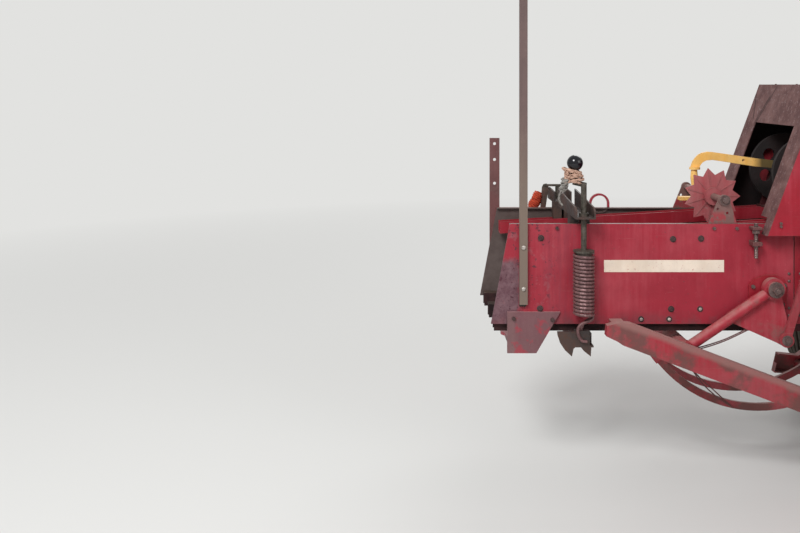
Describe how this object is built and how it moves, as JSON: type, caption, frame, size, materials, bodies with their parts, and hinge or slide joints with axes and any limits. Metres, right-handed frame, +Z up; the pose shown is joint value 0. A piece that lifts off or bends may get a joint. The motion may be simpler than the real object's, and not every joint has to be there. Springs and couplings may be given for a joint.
{
  "type": "square hay baler",
  "caption": "Towed square baler with a slatted pickup, feed table, long bale chamber with knotter hood, needles and bale tension springs, on two tyres with a drawbar.",
  "frame": {"origin": "centre of the bounding box's base, on the ground plane", "axes": "+X to the drawbar's nose, +Y to the machine's left, +Z up"},
  "size_m": [4.8999, 2.6, 1.84],
  "materials": {
    "red_faded": "faded satin",
    "red_paint": "worn satin",
    "rust_brown": "rusty matte",
    "bare_steel": "dull, stained",
    "cast_grey": "rough",
    "yellow_paint": "worn satin",
    "black_plastic": "dull",
    "tyre_rubber": "dusty matte",
    "gauge_rubber": "matte"
  },
  "bodies": {
    "chassis": {"right_wall": "red_faded", "left_wall": "red_faded", "case_right": "red_paint", "chamber_floor": "rust_brown", "top_rails": "red_paint", "tension_rails": "red_faded", "tension_cross": "rust_brown", "tension_springs": "red_faded", "tension_cranks": "bare_steel", "tall_post": "rust_brown", "short_post": "rust_brown", "hitch_plates": "rust_brown", "meter_stand": "bare_steel", "trip_arm": "yellow_paint", "knotter_frames": "cast_grey", "pivot_brackets": "red_paint", "needle_guard": "red_faded", "axle": "rust_brown", "feed_table": "red_paint", "feed_cover": "red_paint", "feeder_bar": "bare_steel", "plunger": "rust_brown", "gearbox": "cast_grey", "flywheel_shield": "red_paint", "front_frame": "rust_brown", "twine_box": "red_paint", "drive_guard": "red_paint"},
    "left_wheel": {"left_tyre": "tyre_rubber", "left_rim": "red_paint"},
    "right_wheel": {"right_tyre": "tyre_rubber", "right_rim": "red_paint"},
    "star": {"meter_wheel": "red_paint"},
    "knotters": {"knotter_shaft": "bare_steel"},
    "yoke": {"needle_yoke": "red_paint", "needles": "red_faded"},
    "link": {"needle_link": "red_paint"},
    "hood": {"hood": "red_paint"},
    "pickup": {"pickup_frame": "red_paint", "stripper_bands": "red_faded"},
    "reel": {"pickup_reel": "bare_steel"},
    "gauge": {"gauge_wheel": "gauge_rubber"},
    "wind": {"wind_guard": "bare_steel"},
    "fly": {"flywheel": "red_paint"},
    "drawbar": {"tongue": "red_paint", "pto_guard": "black_plastic", "pto_yoke": "bare_steel"},
    "jack": {"jack_tube": "bare_steel"},
    "jack_foot": {"jack_leg": "bare_steel"},
    "lid": {"twine_lid": "red_paint"}
  },
  "joints": [
    {"name": "left_wheel_spin", "type": "hinge", "parent": "chassis", "child": "left_wheel", "pos_m": [-0.74, 1.17, 0.36], "axis": [0, 1, 0], "continuous": true},
    {"name": "right_wheel_spin", "type": "hinge", "parent": "chassis", "child": "right_wheel", "pos_m": [-0.74, -1.215, 0.29], "axis": [0, 1, 0], "continuous": true},
    {"name": "star_spin", "type": "hinge", "parent": "chassis", "child": "star", "pos_m": [-1.62, 0.6005, 0.978], "axis": [0, 1, 0], "continuous": true},
    {"name": "yoke_swing", "type": "hinge", "parent": "chassis", "child": "yoke", "pos_m": [-1.458, 0.695, 0.671], "axis": [0, -1, 0], "range_deg": [0, 80]},
    {"name": "knotter_turn", "type": "hinge", "parent": "chassis", "child": "knotters", "pos_m": [-1.25, 0.695, 1.06], "axis": [0, -1, 0], "range_deg": [0, 193.08]},
    {"name": "link_swing", "type": "hinge", "parent": "yoke", "child": "link", "pos_m": [-1.41683, 0.4105, 0.49269], "axis": [0, -1, 0], "range_deg": [-67.92, 0]},
    {"name": "hood_tilt", "type": "hinge", "parent": "chassis", "child": "hood", "pos_m": [-0.79, 0.695, 1.13], "axis": [0, 1, 0], "range_deg": [0, 55]},
    {"name": "pickup_lift", "type": "hinge", "parent": "chassis", "child": "pickup", "pos_m": [-0.18, -0.2, 0.47], "axis": [0, -1, 0], "range_deg": [0, 14]},
    {"name": "reel_spin", "type": "hinge", "parent": "pickup", "child": "reel", "pos_m": [0.08, -0.2, 0.33], "axis": [0, 1, 0], "continuous": true},
    {"name": "gauge_spin", "type": "hinge", "parent": "pickup", "child": "gauge", "pos_m": [0.13, -0.95, 0.18], "axis": [0, 1, 0], "continuous": true},
    {"name": "wind_lift", "type": "hinge", "parent": "pickup", "child": "wind", "pos_m": [-0.045, -0.2, 0.755], "axis": [0, -1, 0], "range_deg": [0, 50]},
    {"name": "fly_spin", "type": "hinge", "parent": "chassis", "child": "fly", "pos_m": [0.93, 0.695, 0.815], "axis": [1, 0, 0], "continuous": true},
    {"name": "drawbar_swing", "type": "hinge", "parent": "chassis", "child": "drawbar", "pos_m": [1.13, 0.695, 0.476], "axis": [0, 0, 1], "range_deg": [-26, 8]},
    {"name": "jack_swivel", "type": "hinge", "parent": "drawbar", "child": "jack", "pos_m": [1.8, 0.775, 0.476], "axis": [0, 1, 0], "range_deg": [0, 80]},
    {"name": "jack_wind", "type": "slide", "parent": "jack", "child": "jack_foot", "axis": [0, 0, 1], "range_m": [0, 0.2]},
    {"name": "lid_open", "type": "hinge", "parent": "chassis", "child": "lid", "pos_m": [0.07, 1.0035, 0.912], "axis": [1, 0, 0], "range_deg": [0, 90]}
  ],
  "couplings": [
    {"joint": "knotter_turn", "follows": "yoke_swing", "ratio": 2.4072},
    {"joint": "link_swing", "follows": "yoke_swing", "ratio": -0.84275}
  ]
}
